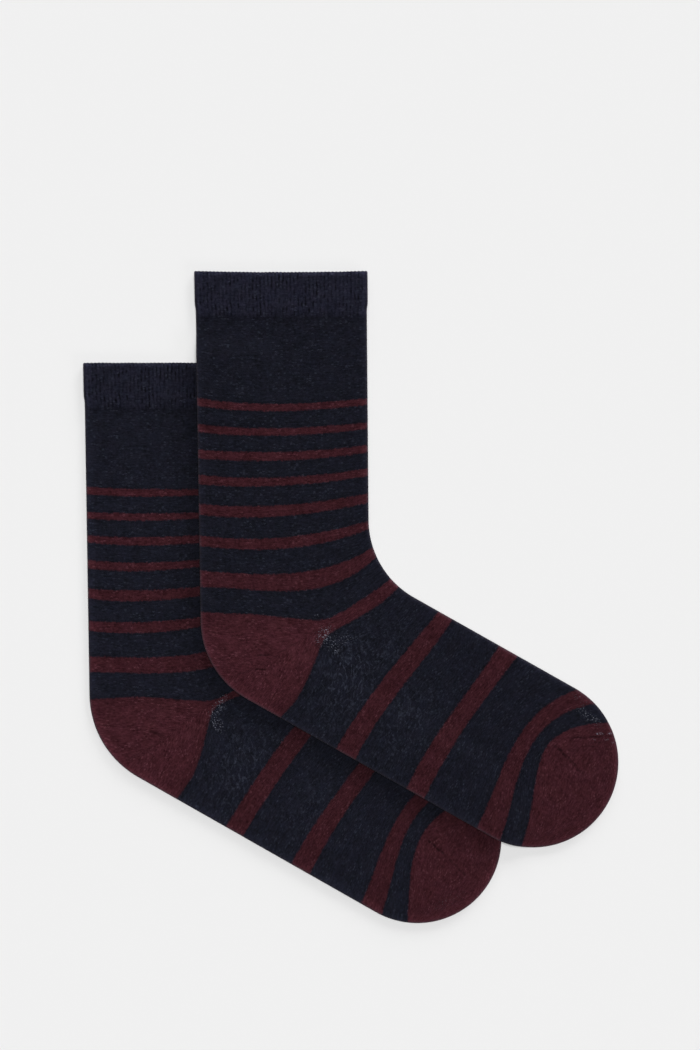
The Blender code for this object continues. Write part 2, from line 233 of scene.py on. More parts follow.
# Thin dark lines of painted shade in both layers: creases in the heel, the gore's row of holes in
# the toe, and the toe's linked seam. Each has its middle, the way it runs, its length, its breadth,
# how dark it is and, for a row of holes, the room from one to the next.
MARK_WANDER = (0.18, 1.1)  # each strays this far, this fast along its length
MARKS = {UPPER: (
    (-45.6, -30, 3, 8.5, 0.75, 0.5),
    (-47, -37.3, 3, 7, 0.6, 0.55),
    (109.4, -80.6, -44, 13, 1.1, 0.6, 3.4),
    (117, -88.4, -50, 12, 1.2, 0.36, 3.4),
    (118.6, -72.9, 2, 8, 0.75, 0.46),
    (126.9, -72.5, 3, 9, 0.75, 0.5),
    (134.2, -72.2, 4, 6, 0.6, 0.3),
    (128, -75.4, 3, 12, 0.6, 0.38, 2.6),
    (124.6, -77.4, 2, 9, 0.6, 0.26),
    (115.8, -79.1, -5, 6, 0.5, 0.22),
    (133.8, -79.1, 0, 6, 0.5, 0.22),
), LOWER: (
    (-100.5, -70.7, -14, 10, 1.6, 0.28),
    (44, -129.8, -42, 16, 0.95, 0.6, 3),
    (55.2, -140.4, -46, 16, 0.9, 0.44, 3.2),
)}


def linear(red, green, blue):
    """An sRGB colour, 0 to 255, as a shader's colour."""
    values = [c / 255.0 for c in (red, green, blue)]
    return (*[c / 12.92 if c <= 0.04045 else ((c + 0.055) / 1.055) ** 2.4 for c in values], 1.0)


NAVY_DARK = linear(9.5, 10.5, 15.5)
NAVY_LIGHT = linear(28.5, 29.5, 41)
WELT_DARK = linear(14, 15, 25.5)
WELT_LIGHT = linear(38, 38, 52)
BURGUNDY_DARK = linear(35.5, 11, 15.5)
BURGUNDY_LIGHT = linear(74.5, 37.2, 44.9)
# the navy's light flecks, and the painted highlight on its rumpled ridges
NAVY_FLECK_AND_RIDGE_HIGHLIGHT = linear(70, 75, 90)
BURGUNDY_FLECK = linear(136, 84, 95)
PALE_YARN = linear(182, 186, 204)
# the colour of the fluff and painted sheen at the folded edges
FLUFF_AND_SHEEN = linear(120, 108, 122)
CLOTH_SURFACE = {
    "Roughness": 0.95,
    "Specular IOR Level": 0.05,
    "Sheen Weight": 0.03,
    "Sheen Roughness": 0.4,
}
FLOOR_SURFACE = {"Base Color": (0.8, 0.8, 0.8, 1.0), "Roughness": 0.9, "Specular IOR Level": 0.0}

# How light the navy is in each sock, and the burgundy in each part of one. The heel's pocket grows
# lighter between these two distances in from its edge.
NAVY_TONES = {LOWER: 1.05, UPPER: 0.96}
BURGUNDY_TONES = {"leg": 0.855, "ankle": 0.81, "heel": 1.0, "foot": 0.76, "toe": 0.87}
HEEL_EASE = (2.0, 12.0)
WELT_SHARE = {LOWER: 0.76, UPPER: 1.0}  # how much of the welt's own colour it has
# painted sheen, with some fluff, that lightens the cloth towards each folded edge
RIM_FLUFF_AND_SHEEN = {LOWER: (0.42, 6.5), UPPER: (0.32, 4.5)}  # most light there, and its reach
# painted highlight along the cuff's rolled edge
LIP_HIGHLIGHT = 1.8  # how light the cuff's rolled edge is
LIP_REACH = (0.5, 4.5)  # and the courses over which that fades

# Patterns in the yarn: how close they are across the wales and along them, their seed and, where
# it isn't the usual one, their noise's scale, detail and roughness.
PATTERNS = {
    "course streaks": (0.26, 1, 0, 0.62, 2, 0.6),
    "wale streaks": (1, 0.22, 0, 0.62, 2, 0.6),
    "clouds": (0.13, 0.1, 0, 1, 3),
    "dashes": (0.42, 1.15, 3, 1, 0),
    "ragged": (0.26, 1, 0, 1.1),
    "busy": (0.1, 0.09, 2),
    "uneven": (0.7, 0.22, 7, 1, 1),
    "warm": (0.17, 0.13, 5),
    "cool": (0.12, 0.09, 9),
}
SIDE_SEED = 57.0  # the underside's patterns are this far from the top's
STITCH_WANDER = 0.5  # how far the stitches stray from their wales and courses
WANDER_SCALES = (0.6, 0.45)  # and how closely that changes
STITCH_SLANT = 0.6  # courses from the middle of a stitch to the ends of its legs
# painted shade between the stitches' legs
STITCH_SHADE = (0.76, 0.44)  # how light a stitch is at its edge, and how much more in its middle
STREAK_RANGE = (0.36, 0.66)  # of the noise from dark to light
STREAKS, CLOUDS, DASHES, STITCHES = 0.3, 0.17, 0.21, 0.32  # their shares in how light a place is
WALE_STREAKS = (0.1, 0.12)  # what of STREAKS runs down the wales, and how much more in the welt
FLECKS = (0.66, 1.1, 11.0)  # light flecks to a wale, to a course, and their seed
FLECK_LIGHT = (0.22, 0.06)  # how strong they are, and how much more in the welt
SPECKS = (2.9, 2.0, 23.0)  # and the same for specks of the splicing yarn
SPECK_LIGHT = 0.8
DYE_RANGE = (0.3, 0.7)  # of the noise from cool to warm
RED_CHANGE = (0.04, 0.015)  # how far the navy's red part goes, and the burgundy's
BLUE_RANGE = (0.97, 1.03)
# painted shade in the welt's grooves, and along the step where the welt ends
GROOVE_SHADE = (0.06, 0.8)  # how much darker the grooves between ribs are: least and most
HEM_SHADE = 0.1
RIDGES = (0.36, 0.15)  # rumpled ridges to a millimetre, in X and in Y
# painted highlight on the ridges' crests, least and most
RIDGE_HIGHLIGHT = (0.2, 0.52)
# the share of fluff and painted sheen at the very fold
FLUFF_AND_SHEEN_SHARES = (0.06, 0.13)  # at the fold, on navy and on burgundy
BUMP = {"Strength": 0.7, "Distance": 0.12 * MM}
FUZZ_BUMP, RIDGE_BUMP, STREAK_BUMP, MARK_BUMP = 0.5, 2.0, 0.5, -3.0  # to 1 for a stitch

# The upper sock keeps some of the studio's light off the lower one beside it.
SHADE_DEPTH = 0.32  # the share that it takes at its edge
SHADE_REACH = 12.0  # and how far that carries

FLOOR_SIZE = 60000.0
FLOOR_GAP = 0.05  # air under the socks

# Lamps a long way off: their strength and, in degrees, their breadth, their height and their side,
# which is 0 at +X and 90 at +Y.
LAMPS = (
    ("overhead_light", 2.69, 34, 84, 60),
    ("key_light", 1.14, 22, 16.6, 61),
    ("side_light", 0.68, 26, 17.6, 102),
    ("low_light", 0.29, 12, 20.6, 319),
)
WORLD_LIGHT = 0.04

# The camera looks straight down, from as high as a copy stand.
VIEW_MIDDLE = (-0.66, 37.48)
VIEW_LONG = 546.0  # what the long side of the picture covers
CAMERA_HEIGHT = 1600.0
SENSOR = 36.0


def smooth_step(x):
    """0 below 0, 1 above 1, with a smooth rise between."""
    x = np.clip(x, 0.0, 1.0)
    return x * x * (3.0 - 2.0 * x)


def direction(angle):
    return np.array([math.cos(angle), math.sin(angle)])


class Edge:
    """A path in the plane made of straight runs and arcs, measured by its length from the start."""

    def __init__(self, start, heading):
        self.pieces = []
        self.end = np.array(start, float)
        self.heading = heading
        self.length = 0.0

    def add(self, length, turn=0.0):
        """Goes on for a length, while turning left by the given angle."""
        piece = (self.length, self.end, self.heading, turn / length)
        self.pieces.append(piece)
        self.end = self.walk(piece, length)
        self.heading += turn
        self.length += length

    @staticmethod
    def walk(piece, length):
        _, start, heading, curve = piece
        if curve == 0.0:
            return start + length * direction(heading)
        turned = heading + curve * length
        across = math.sin(turned) - math.sin(heading)
        along = math.cos(heading) - math.cos(turned)
        return start + np.array([across, along]) / curve

    def point(self, length):
        piece = [p for p in self.pieces if p[0] <= length][-1] if length > 0.0 else self.pieces[0]
        return self.walk(piece, length - piece[0])


def profile_of(name):
    return {key: pair[name == UPPER] for key, pair in PROFILES.items()}


def edges_of(name):
    """The back and front edges of a sock, and the radius of its toe."""
    profile = profile_of(name)
    down_back = math.radians(profile["back_lean"] - 90.0)
    down_front = math.radians(profile["front_lean"] - 90.0)
    along = -math.radians(profile["foot_angle"])
    foot, down = direction(along), direction(down_back)
    to_sole = np.array([foot[1], -foot[0]])
    radius = profile["foot_width"] / 2.0
    back_top = np.array([profile["cuff_x"], profile["cuff_y"]])
    front_top = back_top + [profile["cuff_width"], 0.0]
    ankle = front_top + profile["shin_length"] * direction(down_front)
    toe = ankle + profile["ankle_to_toe"] * foot + radius * to_sole
    # The heel's corner is where the back edge's line meets the sole's.
    sole = toe + radius * to_sole
    to_corner = np.linalg.solve(np.array([down, -foot]).T, sole - back_top)[0]
    corner = back_top + to_corner * down

    back_turn, front_turn = along - down_back, along - down_front
    heel_cut = profile["heel_radius"] * math.tan(back_turn / 2.0)
    ankle_cut = profile["ankle_radius"] * math.tan(front_turn / 2.0)
    back = Edge(back_top, down_back)
    back.add(to_corner - heel_cut)
    back.add(profile["heel_radius"] * back_turn, back_turn)
    back.add(float(np.dot(sole - corner, foot)) - heel_cut)
    back.add(radius * math.pi / 2.0, math.pi / 2.0)
    front = Edge(front_top, down_front)
    front.add(profile["shin_length"] - ankle_cut)
    front.add(profile["ankle_radius"] * front_turn, front_turn)
    front.add(profile["ankle_to_toe"] - ankle_cut)
    front.add(radius * math.pi / 2.0, -math.pi / 2.0)
    return back, front, radius


def sag_of(course, t):
    """A course's own curve: offsets along and across its chord at each place."""
    across = 4.0 * t * (1.0 - t) * (course["bow"] + course["skew"] * (1.0 - 2.0 * t))
    from_tip = np.hypot(t - course["kink_at"], KINK_ROUND) - KINK_ROUND
    kink = np.clip(1.0 - from_tip / KINK_REACH, 0.0, None) ** 1.5
    return np.stack([np.zeros_like(t), across + course["kink"] * kink], axis=1)


def arc_of(radius, chord, t):
    """The same for an arc of this radius over this chord."""
    half = math.asin(min(1.0, chord / 2.0 / radius))
    angle = half * (2.0 * t - 1.0)
    along = radius * np.sin(angle) + chord / 2.0 - chord * t
    across = radius * (np.cos(angle) - math.cos(half))
    return np.stack([along, across], axis=1)


class Ring:
    """One knitted course in plan, between the two folded edges."""

    def __init__(self, edges, course, toe_share=0.0):
        back, front, self.radius = edges
        self.start = back.point(course["back"])
        self.chord = front.point(course["front"]) - self.start
        self.width = float(np.linalg.norm(self.chord))
        self.course = course
        self.toe_share = toe_share

    def points(self, t):
        """Plan points at these places across."""
        along = self.chord / self.width
        towards_toe = np.array([along[1], -along[0]])
        offsets = (1.0 - self.toe_share) * sag_of(self.course, t)
        if self.toe_share > 0.0:
            offsets = offsets + self.toe_share * arc_of(self.radius, self.width, t)
        base = self.start + np.outer(t * self.width + offsets[:, 0], along)
        return base + np.outer(offsets[:, 1], towards_toe)


def mixed(here, there, share):
    """The course this share of the way from one to another."""
    return {key: (1.0 - share) * here[key] + share * there[key] for key in COURSE_KEYS}


def courses_of(name):
    """The sock's courses as dictionaries with named columns."""
    return [{"kink": 0.0, "kink_at": 0.5, **dict(zip(COURSE_KEYS, row))} for row in COURSES[name]]


def rings_of(name, step, lead=(0.0,), end_insets=(0.0,)):
    """The sock's rings from the cuff to the toe, as dictionaries: the ring, the row of the course
    table that it follows, and the mean length knitted so far. "lead" are the first rings' distances
    from the cuff, and "end_insets" the last ones' from the toe's end."""
    edges, courses = edges_of(name), courses_of(name)
    made = []

    def add(row, course, share=0.0, knitted=0.0):
        made.append({"ring": Ring(edges, course, share), "row": row, "knitted": knitted})

    for row, (here, there) in enumerate(zip(courses, courses[1:])):
        gap = max(there["back"] - here["back"], there["front"] - here["front"])
        count = math.ceil(gap / step)
        shares = [k / count for k in range(count)]
        if row == 0:
            later = [s for s in shares if s * gap > lead[-1] + step / 3.0]
            shares = [s / gap for s in lead] + later
        for share in shares:
            course = mixed(here, there, share)
            add(row, course, knitted=(course["back"] + course["front"]) / 2.0)

    # The toe: from its first course to the round end itself.
    back, front, radius = edges
    toe, past = courses[-1], math.radians(TOE_END_ANGLE) * radius
    end = dict(toe, back=back.length - past, front=front.length - past)
    middle = np.array([0.5])
    run = Ring(edges, end, 1.0).points(middle) - Ring(edges, toe).points(middle)
    depth = float(np.linalg.norm(run))
    near_end = [1.0 - inset / depth for inset in end_insets]
    count = math.ceil(depth / step)
    knitted = (toe["back"] + toe["front"]) / 2.0
    for share in [k * near_end[0] / count for k in range(count)] + near_end:
        add(len(courses) - 1, mixed(toe, end, share), share, knitted + share * depth)
    return made


def outline_of(name, step=2.0):
    """The sock's outline as a list of points: down the back, round the toe and up the front."""
    back, front, _ = edges_of(name)
    down = [back.point(s) for s in np.arange(0.0, back.length, step)]
    up = [front.point(s) for s in np.arange(0.0, front.length, step)]
    return np.array(down + [back.end] + up[::-1])


def nearest_on(points, line, chunk=4000):
    """How far each point is from a line of points, and the share of its points passed there."""
    start, run = line[:-1], np.diff(line, axis=0)
    far, passed = [], []
    for first in range(0, len(points), chunk):
        away = points[first : first + chunk, None, :] - start[None]
        share = np.clip((away * run).sum(axis=2) / (run * run).sum(axis=1), 0.0, 1.0)
        distance = np.linalg.norm(away - share[..., None] * run, axis=2)
        best = distance.argmin(axis=1)
        rows = np.arange(len(best))
        far.append(distance[rows, best])
        passed.append((best + share[rows, best]) / len(run))
    return np.concatenate(far), np.concatenate(passed)


def inside(points, outline):
    """Whether each point is inside the closed outline, by counting the edges it crosses."""
    start, end = outline, np.roll(outline, -1, axis=0)
    x, y = points[:, :1], points[:, 1:]
    spans = (start[:, 1] > y) != (end[:, 1] > y)
    rise = np.where(end[:, 1] == start[:, 1], 1.0, end[:, 1] - start[:, 1])
    crossing = start[:, 0] + (y - start[:, 1]) * (end[:, 0] - start[:, 0]) / rise
    return (spans & (x < crossing)).sum(axis=1) % 2 == 1


def past_outline(name, points):
    """How far points are past the sock's outline, 0 inside it."""
    outline = outline_of(name)
    distance, _ = nearest_on(points, np.vstack([outline, outline[:1]]))
    return np.where(inside(points, outline), 0.0, distance)


def welt_share(name, points, longer=0.0):
    """1 in the welt, 0 below it."""
    below_cuff = profile_of(name)["cuff_y"] - points[:, 1] - longer
    return 1.0 - smooth_step((below_cuff - WELT_DEPTH) / WELT_TAPER)


def cloth_of(name, points, longer=0.0):
    return CLOTH + (WELT_CLOTH - CLOTH) * welt_share(name, points, longer)


def fullness_of(name, points):
    """How far the pockets lift the top layer."""
    lift = np.zeros(len(points))
    for x, y, reach, height in FULLNESS[name]:
        away = np.hypot(points[:, 0] - x, points[:, 1] - y)
        lift += height * (1.0 - smooth_step(away / reach))
    return lift


def rest_height(name, points):
    """What the sock lies on at each point: the floor, or the lower sock."""
    if name == LOWER:
        return np.zeros(len(points))
    top = 2.0 * cloth_of(LOWER, points, longer=SOLID_RING_STEP) + SLIT
    top += fullness_of(LOWER, points) + REST_GAP
    past = past_outline(LOWER, points)
    return top * (1.0 - smooth_step((past - SHOULDER) / DROP))


def shaded_by_upper(name, points):
    """The share of the light that the upper sock takes."""
    if name == UPPER:
        return np.zeros(len(points))
    return SHADE_DEPTH * np.exp(-((past_outline(UPPER, points) / SHADE_REACH) ** 2))


def turned(points, x, y, angle):
    """How far points are along and across something here that runs this way."""
    angle = math.radians(angle)
    away = points - [x, y]
    return away @ direction(angle), away @ direction(angle + math.pi / 2.0)


def creases_of(name, points):
    """How far the soft creases lift or sink the top layer."""
    lift = np.zeros(len(points))
    for x, y, angle, length, breadth, height in CREASES[name]:
        along, across = turned(points, x, y, angle)
        wander = CREASE_WANDER[0] * breadth * np.sin(along / length * CREASE_WANDER[1])
        ends = 1.0 - smooth_step(np.abs(along) / (length / 2.0))
        lift += height * ends * np.exp(-(((across - wander) / breadth) ** 2))
    return lift


def patches_of(table, points):
    """The strongest of the table's soft oval patches at each point, from 0 to 1."""
    share = np.zeros(len(points))
    for x, y, angle, length, breadth, strength in table:
        along, across = turned(points, x, y, angle)
        reach = (along / length) ** 2 + (across / breadth) ** 2
        share = np.maximum(share, strength * np.exp(-reach))
    return share


def ripple_of(points, seed, size, count=9):
    """An even, unrepeating ripple from -1 to 1, a few sizes long."""
    random = np.random.default_rng(seed)
    total = np.zeros(len(points))
    for _ in range(count):
        way = direction(random.uniform(0.0, math.tau))
        wave = way * math.tau / (size * random.uniform(0.7, 1.6))
        total += np.sin(points @ wave + random.uniform(0.0, math.tau))
    return total / count


def places_across(width):
    """Places across the top layer's ring of this width, 0 at the back edge and 1 at the front."""
    edge = np.array(EDGE_ROWS)
    count = TOP_COLUMNS - 2 * len(EDGE_ROWS) + 3
    middle = np.linspace(edge[-1], width - edge[-1], count)[1:-1]
    return np.concatenate([edge, middle, width - edge[::-1]]) / width


def grid_faces(index, flip=False):
    """Quads over a grid of vertex numbers whose rows run towards the toe, facing up."""
    corners = [index[:-1, :-1], index[1:, :-1], index[1:, 1:], index[:-1, 1:]]
    if flip:
        corners = corners[::-1]
    return np.stack([c.ravel() for c in corners], axis=1).tolist()


def fan_faces(coarse, fine, flip=False):
    """Faces between a coarse row of vertex numbers and a finer one nearer the toe, facing up."""
    ratio = (len(fine) - 1) // (len(coarse) - 1)
    faces = []
    for j in range(len(coarse) - 1):
        run = [int(fine[k]) for k in range(j * ratio, (j + 1) * ratio + 1)]
        face = [int(coarse[j]), *run, int(coarse[j + 1])]
        faces.append(face[::-1] if flip else face)
    return faces


class Knit:
    """The points of one sock with what each carries, gathered sheet by sheet."""

    def __init__(self, name):
        self.name = name
        self.outline = outline_of(name)
        self.parts = []
        self.count = 0
        edges, courses = edges_of(name), courses_of(name)
        across = np.linspace(0.0, 1.0, LINE_STEPS + 1)
        self.lines = [Ring(edges, course).points(across) for course in courses]
        self.heel_start = (courses[HEEL_TOP]["back"] + courses[HEEL_TOP]["front"]) / 2.0

    def heights(self, points, depth):
        """Heights of both layers, this deep in the cloth, and how far points are from a fold."""
        cloth = cloth_of(self.name, points)
        half = cloth + SLIT / 2.0 - depth
        distance, _ = nearest_on(points, self.outline)
        into = np.clip((distance - depth) / half, 0.0, 1.0)
        swell = half * np.sqrt(1.0 - (1.0 - into) ** 2)
        middle = rest_height(self.name, points) + cloth + SLIT / 2.0
        soft = smooth_step(distance / FOLD_EASE)
        relief = fullness_of(self.name, points) + creases_of(self.name, points)
        for seed, height, size in RIPPLES[self.name]:
            relief += height * ripple_of(points, seed, size)
        return middle - swell, middle + swell + soft * relief, distance

    def beside(self, row, plan):
        """How far points are from a row's course, and where along it, 0 at the back edge, past
        which the course is carried straight on, so that stitches there keep their width."""
        line = self.lines[row]
        ahead = np.arange(LINE_STEPS // 2, 0, -1)[:, None] * (line[0] - line[1])
        far, passed = nearest_on(plan, np.vstack([line[0] + ahead, line]))
        return far, (passed * (len(ahead) + LINE_STEPS) - len(ahead)) / LINE_STEPS

    def stitches_at(self, made, plan, t):
        """Wale and course numbers of the points of one ring."""
        wale, course = t * WALES, np.full(len(t), made["knitted"] / COURSE)
        row = made["row"]
        if row == HEEL_TOP:
            from_top, top_at = self.beside(HEEL_TOP, plan)
            from_end, end_at = self.beside(HEEL_END, plan)
            upper = from_top < from_end
            wale = np.where(upper, top_at, end_at) * WALES
            course = (self.heel_start + np.where(upper, from_top, from_end)) / COURSE
        return wale, course

    def stripe_at(self, made, plan):
        """How far the points of one ring are inside burgundy, or outside it if negative."""
        row = made["row"]
        changes = [row, row + 1] if row >= FIRST_STRIPE else [FIRST_STRIPE]
        lines = [self.lines[k] for k in changes if k < len(self.lines)]
        distance = np.min([nearest_on(plan, line)[0] for line in lines], axis=0)
        burgundy = row >= FIRST_STRIPE and (row - FIRST_STRIPE) % 2 == 0
        return distance if burgundy else -distance

    def tone_at(self, made, stripe):
        """How light burgundy is at the points of one ring."""
        tones, row = BURGUNDY_TONES, made["row"]
        if row == HEEL_TOP:
            near, far = HEEL_EASE
            share = smooth_step((np.abs(stripe) - near) / (far - near))
            return tones["leg"] + (tones["heel"] - tones["leg"]) * share
        if row < HEEL_TOP:
            part = "leg" if row < ANKLE_ROW else "ankle"
        else:
            part = "toe" if row == len(self.lines) - 1 else "foot"
        return np.full(len(stripe), tones[part])

    def sheet(self, rings, depths, every=1, under=False):
        """Adds a grid of points for one layer, and returns their numbers."""
        numbers = []
        for made, depth in zip(rings, depths):
            ring = made["ring"]
            t = places_across(ring.width)[::every]
            inset = depth / ring.width
            plan = ring.points(inset + t * (1.0 - 2.0 * inset))
            wale, course = self.stitches_at(made, plan, t)
            rib = np.cos(wale * math.tau / RIB)
            seed, height, size = CUFF_RIPPLE
            lip = np.exp(-made["knitted"] / SCALLOP_FADE)
            plan[:, 1] += lip * (SCALLOP * rib + height * ripple_of(plan, seed, size))
            bottom, top, distance = self.heights(plan, depth)
            flare = WELT_FLARE * welt_share(self.name, plan, -FLARE_SHORT)
            plan[:, 0] += flare * (2.0 * t - 1.0)
            ribbed = welt_share(self.name, plan) * smooth_step(distance / RIB_EASE)
            raised = RIB_HEIGHT * rib * ribbed * (depth < CLOTH / 2.0)
            stripe = self.stripe_at(made, plan)
            if under:
                wale = 2 * WALES - wale
            self.parts.append(
                {
                    "co": np.column_stack([plan, bottom if under else top + raised]),
                    "stitch": np.column_stack([wale, course, np.full(len(t), float(under))]),
                    "stripe": stripe,
                    "tone": self.tone_at(made, stripe),
                    "rim": distance,
                }
            )
            numbers.append(np.arange(self.count, self.count + len(t)))
            self.count += len(t)
        return np.array(numbers)

    def together(self, key):
        return np.concatenate([part[key] for part in self.parts])


def fold(co, same, top, bottom, closed=True):
    """Joins two layers of points along the folded edges, and the toe's end where it is closed."""
    ratio = (top.shape[1] - 1) // (bottom.shape[1] - 1)
    pairs = [(top[:, 0], bottom[:, 0]), (top[:, -1], bottom[:, -1])]
    if closed:
        pairs.append((top[-1, ::ratio], bottom[-1]))
    for kept, gone in pairs:
        co[kept, 2] = (co[kept, 2] + co[gone, 2]) / 2.0
        same[gone] = kept
    if closed and ratio > 1:
        ends = top[-1]
        joined = np.arange(0, len(ends), ratio)
        co[ends, 2] = np.interp(np.arange(len(ends)), joined, co[ends[joined], 2])


def lip_rings(angles):
    """How far below the cuff's edge, and how deep in the cloth, the lip's rings are."""
    lip = WELT_CLOTH / 2.0
    angles = [math.radians(a) for a in angles]
    return [lip * (1.0 - math.sin(a)) for a in angles], [lip * (1.0 - math.cos(a)) for a in angles]


def knit_sock(name):
    """The sock's points, its faces as numbers of those points, and what each point carries."""
    knit = Knit(name)
    lead, depths = lip_rings(LIP_OUTSIDE)
    outer = rings_of(name, RING_STEP, lead, EDGE_ROWS[::-1])
    depths += [0.0] * (len(outer) - len(depths))
    top = knit.sheet(outer, depths)
    bottom = knit.sheet(outer, depths, every=2, under=True)

    # The lip turns over into the inside of the cloth, which is coarser.
    lead, depths = lip_rings(LIP_INSIDE)
    roll = rings_of(name, RING_STEP, lead)[: len(lead)]
    lip_top = knit.sheet(roll, depths)
    lip_bottom = knit.sheet(roll, depths, every=2, under=True)
    inner = rings_of(name, INNER_STEP, (INNER_START,), (CLOTH,))
    middles = np.vstack([made["ring"].points(np.array([0.5])) for made in inner])
    depths = [float(cloth) for cloth in cloth_of(name, middles)]
    inner_top = knit.sheet(inner, depths, every=4)
    inner_bottom = knit.sheet(inner, depths, every=4, under=True)

    co = knit.together("co")
    same = np.arange(knit.count)  # each point's number, or that of the point it is joined to
    fold(co, same, top, bottom)
    fold(co, same, lip_top, lip_bottom, closed=False)
    fold(co, same, inner_top, inner_bottom)
    same[lip_top[0]], same[lip_bottom[0]] = top[0], bottom[0]
    same = same[same]

    faces = grid_faces(same[top])
    faces += grid_faces(same[bottom[:-1]], flip=True)
    faces += fan_faces(same[bottom[-2]], same[top[-1]], flip=True)
    faces += grid_faces(same[lip_top], flip=True) + grid_faces(same[lip_bottom])
    faces += fan_faces(same[inner_top[0]], same[lip_top[-1]])
    faces += fan_faces(same[inner_bottom[0]], same[lip_bottom[-1]], flip=True)
    faces += grid_faces(same[inner_top], flip=True) + grid_faces(same[inner_bottom])

    kept = np.unique(same)
    number = np.full(knit.count, -1)
    number[kept] = np.arange(len(kept))
    carried = {key: knit.together(key)[kept] for key in ("stitch", "stripe", "tone", "rim")}
    return co[kept], [[int(number[v]) for v in face] for face in faces], carried


def add_object(name, data):
    thing = bpy.data.objects.new(name, data)
    bpy.context.scene.collection.objects.link(thing)
    return thing


def make_sock(name, material):
    co, faces, carried = knit_sock(name)
    mesh = bpy.data.meshes.new(f"{name}_knit")
    mesh.from_pydata((co * MM).tolist(), [], faces)
    mesh.shade_smooth()

    plan = co[:, :2]
    pale, rumpled = patches_of(PALE_SPOTS[name], plan), patches_of(RUMPLED[name], plan)
    carried["zones"] = np.column_stack([welt_share(name, plan), pale, rumpled])
    carried["shaded"] = shaded_by_upper(name, plan)
    for key, values in carried.items():
        kind, field = ("FLOAT", "value") if values.ndim == 1 else ("FLOAT_VECTOR", "vector")
        mesh.attributes.new(key, kind, "POINT").data.foreach_set(field, values.ravel())
    mesh.materials.append(material)
    return add_object(f"{name}_knit", mesh)


class Nodes:
    """Short ways to add the nodes of one material."""

    def __init__(self, name):
        self.material = bpy.data.materials.new(name)
        self.material.use_nodes = True
        self.tree = self.material.node_tree
        self.shader = self.tree.nodes["Principled BSDF"]

    def put(self, socket, value):
        if isinstance(value, bpy.types.NodeSocket):
            self.tree.links.new(value, socket)
        else:
            socket.default_value = value

    def make(self, kind, *values, **settings):
        """A node of this kind, with its settings and its first inputs filled in."""
        node = self.tree.nodes.new(f"ShaderNode{kind}")
        for key, value in settings.items():
            setattr(node, key, value)
        for socket, value in zip(node.inputs, values):
            self.put(socket, value)
        return node

    def math(self, operation, *values):
        return self.make("Math", *values, operation=operation).outputs[0]

    def add(self, *values):
        return reduce(partial(self.math, "ADD"), values)

    def times(self, *values):
        return reduce(partial(self.math, "MULTIPLY"), values)

    def minus(self, first, second):
        return self.math("SUBTRACT", first, second)

    def absolute(self, value):
        return self.math("ABSOLUTE", value)

    def power(self, value, exponent):
        return self.math("POWER", value, exponent)

    def wave(self, value):
        """Half a sine over each whole number: 0 at the whole numbers and 1 between them."""
        return self.math("SINE", self.times(self.math("FRACT", value), math.pi))

    def ramp(self, value, low, high, to_low=0.0, to_high=1.0):
        """A smooth rise, or fall, from one value to another."""
        values = (value, low, high, to_low, to_high)
        return self.make("MapRange", *values, interpolation_type="SMOOTHSTEP").outputs[0]

    def attribute(self, name, output="Fac"):
        return self.make("Attribute", attribute_name=name).outputs[output]

    def place(self):
        """Where each point is on the piece, in metres: x, y and z."""
        return self.split(self.make("TexCoord").outputs["Object"])

    def split(self, vector):
        return self.make("SeparateXYZ", vector).outputs

    def vector(self, x, y, z):
        return self.make("CombineXYZ", x, y, z).outputs[0]

    def noise(self, vector, scale=1.0, detail=2.0, rough=0.5):
        node = self.make("TexNoise", vector)
        for key, value in (("Scale", scale), ("Detail", detail), ("Roughness", rough)):
            node.inputs[key].default_value = value
        return node.outputs["Fac"]

    def speck(self, x, y, z):
        """A random value from 0 to 1 for each whole-numbered place."""
        place = self.vector(self.math("FLOOR", x), self.math("FLOOR", y), z)
        return self.make("TexWhiteNoise", place).outputs["Value"]

    def dot(self, x, y):
        """1 in the middle of each whole-numbered place, and 0 at its edges."""
        return self.power(self.times(self.wave(x), self.wave(y)), 0.5)

    def mix(self, share, first, second):
        node = self.make("Mix", share, data_type="RGBA")
        for socket, value in zip([s for s in node.inputs if s.type == "RGBA"], (first, second)):
            self.put(socket, value)
        return [s for s in node.outputs if s.type == "RGBA"][0]

    def tinted(self, colour, red, green, blue):
        """The colour with each of its three parts times its own amount."""
        amounts = self.vector(red, green, blue)
        return self.make("VectorMath", colour, amounts, operation="MULTIPLY").outputs[0]

    def scaled(self, colour, amount):
        """The colour times an amount that varies."""
        node = self.make("VectorMath", colour, operation="SCALE")
        self.put(node.inputs["Scale"], amount)
        return node.outputs[0]

    def darkened(self, colour, share):
        return self.scaled(colour, self.minus(1.0, share))

    def surface(self, values):
        """Sets the shader's inputs by name."""
        for key, value in values.items():
            self.put(self.shader.inputs[key], value)


